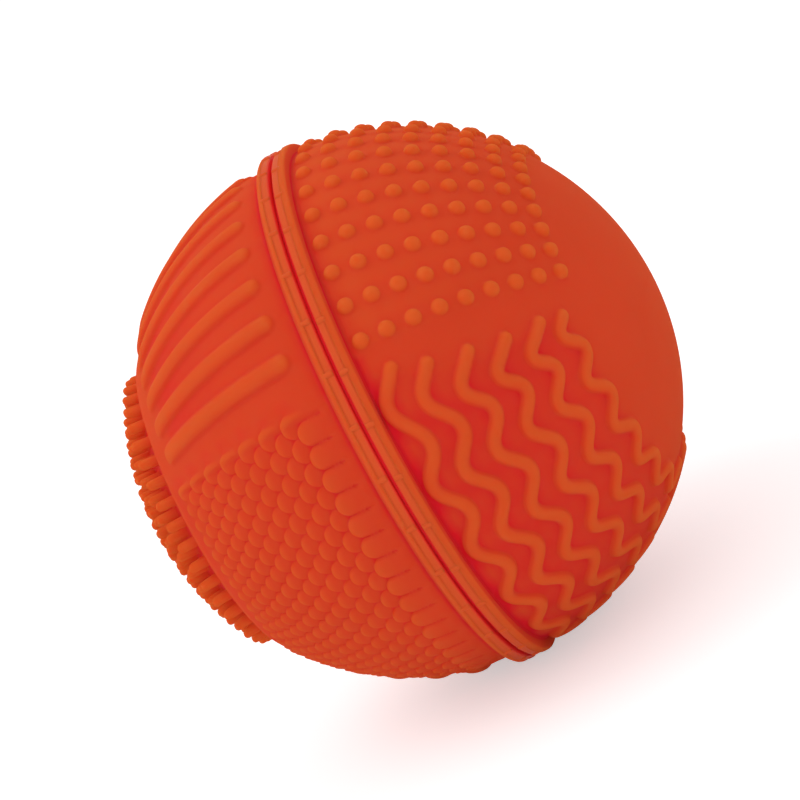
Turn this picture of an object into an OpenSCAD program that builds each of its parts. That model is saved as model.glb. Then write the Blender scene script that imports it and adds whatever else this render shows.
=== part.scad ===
// Sensory ball: two soft textured half shells, each with a firm ring in its mouth, joined by a hidden ring.
// Millimetres and degrees. The pole axis is X, with the dotted half towards +X. Z is up, the origin is the ball's centre.
// A place on the ball is a latitude, from the seam towards a pole, and a turn about X, from the front (-Y) downwards.

/* [Ball] */
// Radius of the smooth ball
ball_r = 48.4; // [42:0.1:56]
// Wall of the soft half shells
shell_wall = 3.2; // [2.8:0.1:4.5]

/* [Rim] */
// Height of each rim's land above the ball
rim_rise = 1.6; // [1.2:0.1:2.4]
// Width of each rim's land
land_w = 1.35; // [1:0.05:2]
// Width of the flat strip between land and seam groove
strip_w = 1.3; // [1:0.05:2]
// How far the strip lies below the land
strip_drop = 0.5; // [0.2:0.05:0.8]
// Width of the seam groove
groove_w = 0.7; // [0.5:0.05:1.2]
// Depth of the seam groove below the strip
groove_depth = 1.2; // [1:0.1:3]
// Pegs across one strip, all the way round
peg_count = 32; // [16:1:40]
// Diameter of one peg
peg_d = 1.25; // [0.8:0.05:1.3]
// Turn of the first peg
peg_first_turn = -3.2; // [-6:0.1:6]

/* [Rings] */
// Wall of each mouth ring's sleeve
mouth_wall = 1.9; // [1.4:0.1:3]
// Depth of each mouth ring from the seam plane
mouth_depth = 8; // [6:0.5:12]
// Wall of the joining ring
join_wall = 2; // [1.4:0.1:3]
// Radial running clearance between the joining ring and the mouth rings
fit_gap = 0.08; // [0.02:0.01:0.1]
// Clearance at each face of the joining ring's stop flange
face_gap = 0.05; // [0.02:0.01:0.1]
// How far the joining ring stops short of the mouth rings' inner ends
join_short = 0.6; // [0.2:0.1:2]

/* [Texture patches] */
// Turn at which the patches of both halves meet, at the front
patch_turn = -27.5; // [-45:0.5:0]

/* [Dots] */
// Diameter of one dot
dot_d = 2.9; // [2.4:0.1:3.6]
// Height of a dot above the ball
dot_rise = 1.25; // [0.8:0.05:1.5]
// Dots in a row, from the seam towards the pole
dots_in_row = 9; // [5:1:10]
// Rows of dots round the patch
dot_rows = 22; // [12:1:23]
// Latitude of the first dot of a row
dot_first_lat = 6.7; // [6:0.1:9]
// Latitude from dot to dot
dot_step_lat = 5.63; // [5:0.01:6]
// Turn from the patches' meeting line to the first row
dot_first_turn = 2.6; // [2:0.1:6]
// Turn from row to row
dot_step_turn = 8; // [7.5:0.1:8]

/* [Waves] */
// Width of a wavy cord
wave_w = 2.5; // [1.8:0.1:2.8]
// Height of a wavy cord above the ball
wave_rise = 1.1; // [0.6:0.05:1.5]
// Number of wavy cords
wave_cords = 6; // [3:1:6]
// Latitude of the first cord's middle
wave_first_lat = 8; // [7.8:0.1:9]
// Latitude from the first cord to the second
wave_step_lat = 6.8; // [6.5:0.05:7]
// Extra latitude that each further step gains, halved
wave_gain_lat = 0.18; // [0:0.01:0.25]
// How far a cord swings to each side of its middle, in latitude
wave_swing_lat = 2.1; // [1:0.1:2.6]
// Turn from the meeting line to the first bend
wave_first_turn = 13.9; // [13:0.1:15]
// Turn from bend to bend
wave_step_turn = 8; // [7:0.1:8]
// Bends in a cord
wave_bends = 12; // [8:1:12]
// Turn from the meeting line to the first cord's end
wave_end_turn = 5.2; // [4:0.1:6]
// Extra turn of each further cord's end
wave_end_lean = 1.15; // [0:0.05:1.4]

/* [Ribs] */
// Width of a rib's tube
rib_d = 3.6; // [2.6:0.1:3.6]
// Height of a rib above the ball
rib_rise = 1.15; // [0.6:0.05:1.3]
// Number of ribs
rib_count = 19; // [10:1:19]
// Latitude of a rib's end near the seam
rib_first_lat = 9.7; // [9:0.1:12]
// Latitude of a rib's end near the pole
rib_last_lat = 46.9; // [40:0.1:47.5]
// Turn from the meeting line to the first rib
rib_first_turn = 6.1; // [5:0.1:8]
// Turn from rib to rib
rib_step_turn = 9.3; // [8:0.1:9.4]
// Number of ribs on the dotted half, behind its waves
back_rib_count = 8; // [4:1:8]
// Turn from the meeting line to the first of them
back_rib_first_turn = 112.5; // [110:0.1:114]
// Latitude of their ends near the pole
back_rib_last_lat = 50.9; // [40:0.1:54]

/* [Scales] */
// Height of a scale row's tips above the ball
scale_rise = 0.7; // [0.4:0.05:1]
// Height of the ball under a row where the row before it ends
scale_foot = 0.15; // [0.1:0.05:0.3]
// Rows of scales
scale_rows = 14; // [6:1:14]
// Latitude where the first row rises out of the ball
scale_root_lat = 6; // [5.5:0.1:7]
// Latitude of the first row's tips
scale_first_lat = 12.9; // [11:0.1:13.2]
// Latitude from row to row
scale_step_lat = 2.83; // [2.7:0.01:2.87]
// Turn from the meeting line to the patch's first side
scale_first_turn = 3.7; // [3.5:0.1:8]
// Turn across the patch
scale_span_turn = 96.4; // [80:0.1:97]

/* [Knobs behind the scales] */
// Diameter of one knob
knob_d = 6.2; // [5:0.1:6.6]
// Height of a knob above the ball
knob_rise = 1.6; // [1:0.1:2]
// Knobs in a row, from the seam towards the pole
knobs_in_row = 4; // [2:1:4]
// Rows of knobs round the patch
knob_rows = 6; // [3:1:6]
// Latitude of the first knob of a row
knob_first_lat = 13.7; // [12:0.1:15]
// Latitude from knob to knob
knob_step_lat = 8.3; // [8:0.1:9]
// Turn from the meeting line to the first row
knob_first_turn = 106.6; // [106:0.1:110]
// Turn from row to row
knob_step_turn = 12; // [11:0.1:12.5]

/* [Pole fingers] */
// Radius of the round recess at the ribbed pole
recess_r = 27.8; // [24:0.1:28.4]
// Depth of the recess below the ball
recess_depth = 1.5; // [0.8:0.1:1.6]
// Diameter of one finger
finger_d = 1.6; // [1.2:0.1:1.8]
// How far the finger tips stand above the ball
finger_rise = 1.6; // [1:0.1:2.5]
// Radius of the outermost ring of fingers
finger_ring_r = 24.7; // [20:0.1:25.2]
// Rings of fingers inside the outermost one
finger_rings = 9; // [5:1:9]
// Spacing of fingers along a ring
finger_pitch = 4; // [3.6:0.1:5]
// Turn of the first finger of the outermost ring
finger_first_turn = 4.2; // [0:0.1:9]

/* [Hidden] */

// Facets of the large turned shapes and of the small texture shapes in a preview
large_fn = 96;
small_fn = 24;

// One overrun for all cuts
over = 2;
// How deep a texture shape is rooted in the shell wall
root = 0.9;
// How much an end ball is larger than the tube it closes
end_swell = 0.06;

inner_r = ball_r - shell_wall;
rim_r = ball_r + rim_rise;
strip_r = rim_r - strip_drop;
seam_x = groove_w / 2;
strip_x = seam_x + strip_w;
land_x = strip_x + land_w;

mouth_bore_r = inner_r - mouth_wall;
join_r = mouth_bore_r - fit_gap;
join_bore_r = join_r - join_wall;
join_half_l = mouth_depth - join_short;
flange_r = strip_r - groove_depth;
flange_half_w = seam_x - face_gap;

dot_half_w = dot_d / 2;
dot_ball_r = (dot_half_w * dot_half_w + dot_rise * dot_rise) / (2 * dot_rise);

knob_half_w = knob_d / 2;
knob_ball_r = (knob_half_w * knob_half_w + knob_rise * knob_rise) / (2 * knob_rise);

rib_r = rib_d / 2;
rib_path_r = ball_r + rib_rise - rib_r;

finger_r = finger_d / 2;
finger_floor_r = ball_r - recess_depth;
finger_tip_r = ball_r + finger_rise;
finger_ring_step = finger_ring_r / finger_rings;

shell_colour = "#d95a26";
mouth_colour = "#cc4a26";
join_colour = "#8c2a1c";

// Latitude of the middle of a wavy cord
function wave_lat(cord) = wave_first_lat + wave_step_lat * cord + wave_gain_lat * cord * cord;
// Which side of its middle a cord swings to at a bend: towards the seam first
function wave_side(bend) = bend % 2 == 0 ? -1 : 1;
// Place of a cord's bend as [latitude, turn]. Bend -1 is the cord's rounded end.
function wave_place(cord, bend) = [
  wave_lat(cord) + wave_swing_lat * wave_side(bend + 2),
  patch_turn + (bend < 0 ? wave_end_turn + wave_end_lean * cord : wave_first_turn + wave_step_turn * bend)
];
// Length along the ball of an angle in degrees
function along(angle) = ball_r * angle * PI / 180;
// Point of an outline at a latitude and a radius
function in_outline(lat, r) = [r * cos(lat), r * sin(lat)];
// Radius of a ring of fingers, and the number of fingers in it: rings go in staggered pairs of equal number
function finger_ring(k) = finger_ring_r - finger_ring_step * k;
function finger_count(k) = max(1, round(2 * PI * finger_ring(k - k % 2) / finger_pitch * (k < finger_rings ? 1 : 0)));

// Puts a shape on the ball: its Z points outwards, its X towards the +X pole
module on_ball(lat, turn) {
  rotate([turn, 0, 0]) rotate([0, 0, lat]) rotate([90, 0, 0]) children();
}

// Round bar about the pole axis
module bar(r, from_x, to_x) {
  translate([from_x, 0, 0]) rotate([0, 90, 0]) cylinder(r = r, h = to_x - from_x, $fn = large_fn);
}

// Outline of a smooth half shell with its rim land, to be turned about the pole axis: across is the radius, up is X
module half_outline() {
  difference() {
    union() {
      intersection() {
        circle(ball_r, $fn = large_fn);
        translate([0, strip_x]) square([rim_r, ball_r]);
      }
      translate([0, strip_x]) square([rim_r, land_w]);
    }
    square([inner_r, mouth_depth]);
    circle(inner_r, $fn = large_fn);
  }
}

// Outline of the round recess at the pole
module recess_outline() {
  difference() {
    square([recess_r, rim_r]);
    circle(finger_floor_r, $fn = large_fn);
  }
}

// Turns an outline about the pole axis
module turned() {
  rotate([0, 90, 0]) rotate_extrude($fn = large_fn) children();
}

// Domed dots in rows along the meridians
module dot_patch() {
  for (row = [0 : dot_rows - 1], i = [0 : dots_in_row - 1])
    on_ball(dot_first_lat + dot_step_lat * i, patch_turn - dot_first_turn - dot_step_turn * row)
      translate([0, 0, ball_r + dot_rise - dot_ball_r]) sphere(dot_ball_r, $fn = small_fn);
}

// One straight stretch of a wavy cord between two places
module wave_leg(a, b) {
  middle = (a + b) / 2;
  north = along(b[0] - a[0]);
  down = along(b[1] - a[1]) * cos(middle[0]);
  leg_l = norm([north, down]);
  on_ball(middle[0], middle[1]) rotate([0, 0, atan2(-down, north)])
    translate([-leg_l / 2, -wave_w / 2, ball_r - root]) cube([leg_l, wave_w, root + wave_rise + over]);
}

// Wavy cords that run round the pole axis
module wave_patch() {
  intersection() {
    sphere(ball_r + wave_rise, $fn = large_fn);
    for (cord = [0 : wave_cords - 1], bend = [-1 : wave_bends - 1]) {
      place = wave_place(cord, bend);
      on_ball(place[0], place[1]) translate([0, 0, ball_r - root - root])
        cylinder(d = wave_w + end_swell, h = root + root + wave_rise + over, $fn = small_fn);
      if (bend < wave_bends - 1) wave_leg(place, wave_place(cord, bend + 1));
    }
  }
}

// Half-round rib along a meridian, with rounded ends
module rib(turn, last_lat) {
  rotate([turn, 0, 0]) {
    rotate([0, 0, rib_first_lat - 90]) rotate_extrude(angle = last_lat - rib_first_lat, $fn = large_fn)
      translate([rib_path_r, 0]) circle(rib_r, $fn = small_fn);
    for (lat = [rib_first_lat, last_lat])
      on_ball(lat, 0) translate([0, 0, rib_path_r]) sphere(rib_r + end_swell, $fn = small_fn);
  }
}

// Ribs of the ribbed half
module rib_patch() {
  for (i = [0 : rib_count - 1]) rib(patch_turn - rib_first_turn - rib_step_turn * i, rib_last_lat);
}

// Ribs of the dotted half, behind its waves
module back_rib_patch() {
  for (i = [0 : back_rib_count - 1]) rib(patch_turn + back_rib_first_turn + rib_step_turn * i, back_rib_last_lat);
}

// Cap of a ball, rooted in the shell wall
module knob() {
  intersection() {
    translate([0, 0, ball_r + knob_rise - knob_ball_r]) sphere(knob_ball_r, $fn = small_fn);
    translate([0, 0, ball_r - root]) cylinder(r = knob_ball_r + over, h = root + knob_rise + over, $fn = small_fn);
  }
}

// Large round knobs behind the scales
module knob_patch() {
  for (row = [0 : knob_rows - 1], i = [0 : knobs_in_row - 1])
    on_ball(knob_first_lat + knob_step_lat * i, patch_turn + knob_first_turn + knob_step_turn * row) knob();
}

// Rows of scales: each row is a ramp that rises towards the pole and ends in a step
module scale_patch() {
  rows = [for (row = [0 : scale_rows - 1]) scale_first_lat + scale_step_lat * row];
  last = rows[scale_rows - 1];
  rotate([patch_turn + scale_first_turn - 90, 0, 0]) rotate([0, 90, 0])
    rotate_extrude(angle = scale_span_turn, $fn = large_fn) polygon(concat(
      [in_outline(last, ball_r - root), in_outline(scale_root_lat, ball_r - root)],
      [in_outline(scale_root_lat, ball_r - scale_foot)],
      [for (lat = rows, top = lat < last ? [scale_rise, scale_foot] : [scale_rise]) in_outline(lat, ball_r + top)]
    ));
}

// One round-tipped finger that stands along the pole axis at a radius from it
module finger(radius) {
  foot = sqrt(finger_floor_r * finger_floor_r - radius * radius) - root;
  tip = sqrt(finger_tip_r * finger_tip_r - radius * radius) - finger_r;
  translate([0, -radius, 0]) rotate([0, 90, 0]) rotate_extrude($fn = small_fn) {
    translate([0, foot]) square([finger_r, tip - foot]);
    intersection() {
      translate([0, tip]) circle(finger_r, $fn = large_fn);
      translate([0, tip - finger_r]) square([finger_r, finger_d]);
    }
  }
}

// Rings of fingers, in staggered pairs
module finger_patch() {
  for (k = [0 : finger_rings], i = [0 : finger_count(k) - 1])
    rotate([finger_first_turn + 360 / finger_count(k) * (i + (k % 2 == 0 ? 0 : 1 / 2)), 0, 0]) finger(finger_ring(k));
}

// Firm ring in a half shell's mouth: a sleeve, the flat strip at the seam and its pegs
module mouth_ring() {
  difference() {
    union() {
      bar(inner_r, seam_x, mouth_depth);
      bar(strip_r, seam_x, strip_x);
      for (i = [0 : peg_count - 1]) on_ball(0, peg_first_turn + 360 / peg_count * i)
        translate([seam_x + strip_w / 2, 0, strip_r - root]) cylinder(d = peg_d, h = root + strip_drop, $fn = small_fn);
    }
    bar(mouth_bore_r, -over, mouth_depth + over);
  }
}

module dotted_half_shell() color(shell_colour) {
  turned() half_outline();
  dot_patch();
  wave_patch();
  back_rib_patch();
}

module ribbed_half_shell() color(shell_colour) mirror([1, 0, 0]) {
  turned() difference() {
    half_outline();
    recess_outline();
  }
  rib_patch();
  scale_patch();
  knob_patch();
  finger_patch();
}

module dotted_mouth_ring() color(mouth_colour) mouth_ring();

module ribbed_mouth_ring() color(mouth_colour) mirror([1, 0, 0]) mouth_ring();

module joining_ring() color(join_colour) difference() {
  union() {
    bar(join_r, -join_half_l, join_half_l);
    bar(flange_r, -flange_half_w, flange_half_w);
  }
  bar(join_bore_r, -join_half_l - over, join_half_l + over);
}

ribbed_half_shell();
dotted_half_shell();
ribbed_mouth_ring();
dotted_mouth_ring();
joining_ring();
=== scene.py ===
"""Sensory ball: moulded soft halves with dots, cords, ribs, scales and fingers, firm rings and a plain studio."""

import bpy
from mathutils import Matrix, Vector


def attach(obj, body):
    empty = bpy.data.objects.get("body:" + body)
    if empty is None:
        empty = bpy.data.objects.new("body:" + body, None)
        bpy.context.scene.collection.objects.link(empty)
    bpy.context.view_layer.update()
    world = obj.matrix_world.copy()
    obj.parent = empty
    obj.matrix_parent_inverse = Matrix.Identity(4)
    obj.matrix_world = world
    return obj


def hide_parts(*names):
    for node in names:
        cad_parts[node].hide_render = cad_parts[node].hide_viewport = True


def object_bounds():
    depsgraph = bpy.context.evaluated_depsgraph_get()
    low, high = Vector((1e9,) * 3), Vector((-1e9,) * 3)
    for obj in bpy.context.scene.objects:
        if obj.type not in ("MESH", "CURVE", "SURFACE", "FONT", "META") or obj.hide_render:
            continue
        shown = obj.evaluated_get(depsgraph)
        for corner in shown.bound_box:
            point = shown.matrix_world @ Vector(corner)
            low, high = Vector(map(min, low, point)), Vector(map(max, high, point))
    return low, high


bl_info = {
    "name": "Sensory Ball",
    "version": (1, 0, 0),
    "blender": (4, 5, 0),
    "location": "View3D > Sidebar > Sensory Ball",
    "description": "Builds the textured halves, the rings and the studio of a sensory ball",
    "category": "Object",
}

import math

import bpy
import numpy as np
from bpy.props import FloatProperty, FloatVectorProperty, IntProperty, PointerProperty
from bpy.types import Operator, Panel, PropertyGroup
from mathutils import Matrix, Vector
from mathutils.geometry import delaunay_2d_cdt

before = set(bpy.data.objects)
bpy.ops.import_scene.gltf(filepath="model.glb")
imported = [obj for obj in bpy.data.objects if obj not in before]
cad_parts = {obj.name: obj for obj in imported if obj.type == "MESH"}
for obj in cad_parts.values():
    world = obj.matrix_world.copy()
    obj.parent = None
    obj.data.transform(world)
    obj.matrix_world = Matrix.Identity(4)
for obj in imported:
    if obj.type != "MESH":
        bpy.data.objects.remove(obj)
cad_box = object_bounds()

# A millimetre, the sides of round rims, and the latitude in degrees where the ball meets its rim
MM, RIM_SIDES, RIM_LAT = 0.001, 216, 4.0
# Profiles of cords and ribs, dots and knobs from the foot up: share of the half width, share of the rise
CORD_SHARES = [(1.42, 0), (1.2, 0.035), (1.04, 0.15), (0.94, 0.36), (0.8, 0.61), (0.58, 0.83), (0.3, 0.96)]
DOT_SHARES = [(1.3, 0), (1.13, 0.04), (1.02, 0.16), (0.95, 0.36), (0.84, 0.59), (0.67, 0.79), (0.45, 0.92), (0.2, 0.99)]
KNOB_SHARES = [(1.1, 0), (1.03, 0.05), (0.97, 0.2), (0.9, 0.4), (0.78, 0.62), (0.6, 0.81), (0.4, 0.92), (0.2, 0.98)]
# A finger from the foot up: share of the half width, then millimetres above the foot or half widths below the tip
FINGER_ROWS = [
    (1.42, 0, None),
    (1.16, 0.1, None),
    (1.03, 0.4, None),
    (0.94, None, 1.0),
    (0.88, None, 0.62),
    (0.72, None, 0.32),
    (0.45, None, 0.1),
]
# Layout in degrees: latitudes from the seam towards the pole, turns from where the patches meet
DOT_LAT, DOT_LAT_STEP, DOT_TURN, DOT_TURN_STEP = 6.7, 5.63, 2.6, 8
RIB_LATS, RIB_NOSE_LAT, RIB_TURN, RIB_TURN_STEP = (9.9, 46.8), 50, 6.1, 9.3
BACK_RIB_LATS, BACK_RIB_TURN = (9.9, 52.3), 112.5
KNOB_LAT, KNOB_LAT_STEP, KNOB_TURN, KNOB_TURN_STEP = 13.7, 8.3, 106.6, 12
WAVE_LAT, WAVE_LAT_STEP, WAVE_SWING, WAVE_TURN, WAVE_TURN_STEP, WAVE_BENDS = 7.9, 6.8, 3.15, 13.9, 8, 12
# Start of each wavy cord: turn and latitude of its end, then turn of its first bend, in degrees
CORD_STARTS = [
    (5.0, 9.8, 12.2),
    (7.2, 16.5, 13.6),
    (8.6, 24.8, 15.5),
    (9.7, 32.9, 16.4),
    (9.7, 41.2, 16.7),
    (10.7, 47.0, 15.4),
]


class BallSizes(PropertyGroup):
    """Sizes of the ball's shells and rims"""

    radius: FloatProperty(name="Ball radius", description="Radius of the smooth ball", default=0.0484, unit="LENGTH")
    wall: FloatProperty(name="Wall", description="Wall of the soft halves", default=0.0032, unit="LENGTH")
    rim_rise: FloatProperty(
        name="Rim rise", description="Height of a rim's land above the ball", default=0.0016, unit="LENGTH"
    )
    rim_dip: FloatProperty(
        name="Rim dip", description="How far the ball dips beside a rim", default=0.0004, unit="LENGTH"
    )
    land_width: FloatProperty(name="Land width", description="Width of a rim's land", default=0.00135, unit="LENGTH")
    strip_width: FloatProperty(
        name="Strip width", description="Width of the strip between land and seam groove", default=0.0013, unit="LENGTH"
    )
    strip_drop: FloatProperty(
        name="Strip drop", description="How far the strip lies below the land", default=0.00016, unit="LENGTH"
    )
    groove_width: FloatProperty(
        name="Groove width", description="Width of the seam groove", default=0.0007, unit="LENGTH"
    )
    mouth_wall: FloatProperty(
        name="Mouth wall", description="Wall of a mouth ring's sleeve", default=0.0019, unit="LENGTH"
    )
    mouth_depth: FloatProperty(
        name="Mouth depth", description="Depth of a mouth ring from the seam plane", default=0.008, unit="LENGTH"
    )
    peg_count: IntProperty(name="Pegs", description="Pegs across one strip, all the way round", default=32, min=8)
    peg_width: FloatProperty(name="Peg width", description="Width of one peg", default=0.00135, unit="LENGTH")
    patch_turn: FloatProperty(
        name="Patch turn", description="Turn at which the patches of both halves meet, in degrees", default=-27.5
    )


class TextureSizes(PropertyGroup):
    """Sizes of the raised textures"""

    dot_width: FloatProperty(name="Dot width", description="Width of one dot", default=0.0028, unit="LENGTH")
    dot_rise: FloatProperty(name="Dot rise", description="Height of a dot", default=0.0013, unit="LENGTH")
    dot_rows: IntProperty(name="Dot rows", description="Rows of dots round the patch", default=22, min=1)
    dots_in_row: IntProperty(name="Dots in a row", description="Dots from the seam to the pole", default=9, min=1)
    wave_width: FloatProperty(name="Wave width", description="Width of a wavy cord", default=0.0025, unit="LENGTH")
    wave_rise: FloatProperty(name="Wave rise", description="Height of a wavy cord", default=0.0011, unit="LENGTH")
    wave_cords: IntProperty(name="Wavy cords", description="Number of wavy cords", default=6, min=1, max=6)
    rib_width: FloatProperty(name="Rib width", description="Width of a rib", default=0.0035, unit="LENGTH")
    rib_rise: FloatProperty(name="Rib rise", description="Height of a rib", default=0.00102, unit="LENGTH")
    rib_count: IntProperty(name="Ribs", description="Number of ribs", default=19, min=1)
    back_rib_rise: FloatProperty(
        name="Back rib rise", description="Height of a rib behind the waves", default=0.0013, unit="LENGTH"
    )
    back_rib_count: IntProperty(name="Back ribs", description="Ribs behind the waves", default=8, min=1)
    knob_width: FloatProperty(name="Knob width", description="Width of one knob", default=0.0062, unit="LENGTH")
    knob_rise: FloatProperty(name="Knob rise", description="Height of a knob", default=0.0016, unit="LENGTH")
    knob_rows: IntProperty(name="Knob rows", description="Rows of knobs behind the scales", default=6, min=1)
    knobs_in_row: IntProperty(name="Knobs in a row", description="Knobs from the seam to the pole", default=4, min=1)
    scale_rise: FloatProperty(name="Scale rise", description="Height of a scale's tip", default=0.00045, unit="LENGTH")
    scale_step: FloatProperty(name="Scale step", description="Fall from row to row", default=0.00055, unit="LENGTH")
    scale_rows: IntProperty(name="Scale rows", description="Rows of scales", default=14, min=1)
    scales_in_row: IntProperty(name="Scales in a row", description="Scales in an outer row", default=18, min=2)
    recess_radius: FloatProperty(
        name="Recess radius", description="Radius of the recess at the ribbed pole", default=0.0278, unit="LENGTH"
    )
    recess_depth: FloatProperty(name="Recess depth", description="Depth of the recess", default=0.0015, unit="LENGTH")
    finger_width: FloatProperty(name="Finger width", description="Width of one finger", default=0.002, unit="LENGTH")
    finger_rise: FloatProperty(
        name="Finger rise", description="How far finger tips stand above the ball", default=0.00165, unit="LENGTH"
    )
    finger_ring: FloatProperty(
        name="Finger ring", description="Radius of the outermost ring of fingers", default=0.0252, unit="LENGTH"
    )
    finger_rings: IntProperty(name="Finger rings", description="Rings inside the outermost one", default=9, min=1)
    finger_pitch: FloatProperty(
        name="Finger pitch", description="Spacing of fingers along a ring", default=0.004, unit="LENGTH"
    )


class BallFinish(PropertyGroup):
    """Colours of the ball, with a painted shade for hollows and a painted highlight for raised tops"""

    orange: FloatVectorProperty(
        name="Orange", description="Silicone on open faces", default=(0.76, 0.07, 0.024), subtype="COLOR", size=3
    )
    # Painted shade: a crimson mixed into hollows, creases and feet where shade falls
    shade_crimson: FloatVectorProperty(
        name="Crimson", description="Silicone in hollows", default=(0.78, 0.015, 0.026), subtype="COLOR", size=3
    )
    # Painted highlight: a yellower orange mixed onto raised tops where light falls
    painted_highlight: FloatVectorProperty(
        name="Crest", description="Silicone on raised tops", default=(0.76, 0.12, 0.025), subtype="COLOR", size=3
    )
    ring: FloatVectorProperty(
        name="Ring", description="Moulded rings", default=(0.78, 0.1, 0.025), subtype="COLOR", size=3
    )
    # The joining ring's own red, which also serves as the painted shade in the mouth rings' hollows and seam groove
    ring_and_shade_red: FloatVectorProperty(
        name="Joining ring", description="Hidden joining ring", default=(1.0, 0.03, 0.045), subtype="COLOR", size=3
    )


class StudioSizes(PropertyGroup):
    """Camera and light"""

    distance: FloatProperty(name="Distance", description="Camera to ball centre", default=0.661, unit="LENGTH")
    lens: FloatProperty(name="Lens", description="Focal length in millimetres", default=168.3)
    key_power: FloatProperty(name="Key", description="Power of the key light", default=1.1, unit="POWER")
    fill_power: FloatProperty(name="Fill", description="Power of the fill light", default=0.7, unit="POWER")
    lamp_distance: FloatProperty(
        name="Lamp distance", description="Lights to ball centre", default=0.8, unit="LENGTH"
    )
    sky: FloatProperty(name="Sky", description="Strength of the soft light from all round", default=0.72)
    floor_grey: FloatProperty(name="Floor", description="Brightness of the floor's surface", default=0.84)
    floor_glow: FloatProperty(name="Floor glow", description="Light that the seen floor adds", default=0.48)


def on_ball(lat, turn, radius):
    """Places at a latitude from the seam towards +X and a turn about X from the front downwards, both in degrees."""
    lat, turn, radius = np.broadcast_arrays(np.radians(lat), np.radians(turn), radius)
    across = -radius * np.cos(lat)
    return np.stack([radius * np.sin(lat), across * np.cos(turn), across * np.sin(turn)], axis=-1).reshape(-1, 3)


def lat_turn(places):
    """Latitude and turn of each place, in degrees."""
    lat = np.degrees(np.arctan2(places[:, 0], np.hypot(places[:, 1], places[:, 2])))
    return lat, np.degrees(np.arctan2(-places[:, 2], -places[:, 1]))


def along_x(x):
    """Places on the X axis."""
    return np.stack([x, 0 * x, 0 * x], axis=-1)


def distances(points, spine):
    """Least distance of each point to a line of points."""
    if len(spine) == 1:
        return np.linalg.norm(points - spine[0], axis=1)
    start, run = spine[:-1], np.diff(spine, axis=0)
    length = (run**2).sum(1)
    least = np.full(len(points), np.inf)
    for k in range(len(run)):
        share = np.clip(((points - start[k]) @ run[k]) / length[k], 0, 1)
        least = np.minimum(least, np.linalg.norm(points - start[k] - share[:, None] * run[k], axis=1))
    return least


def even_steps(points, step):
    """The same line with points an even step apart."""
    along = np.concatenate([[0], np.cumsum(np.linalg.norm(np.diff(points, axis=0), axis=1))])
    places = np.linspace(0, along[-1], max(2, round(along[-1] / step) + 1))
    return np.stack([np.interp(places, along, points[:, k]) for k in range(3)], axis=1)


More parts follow.
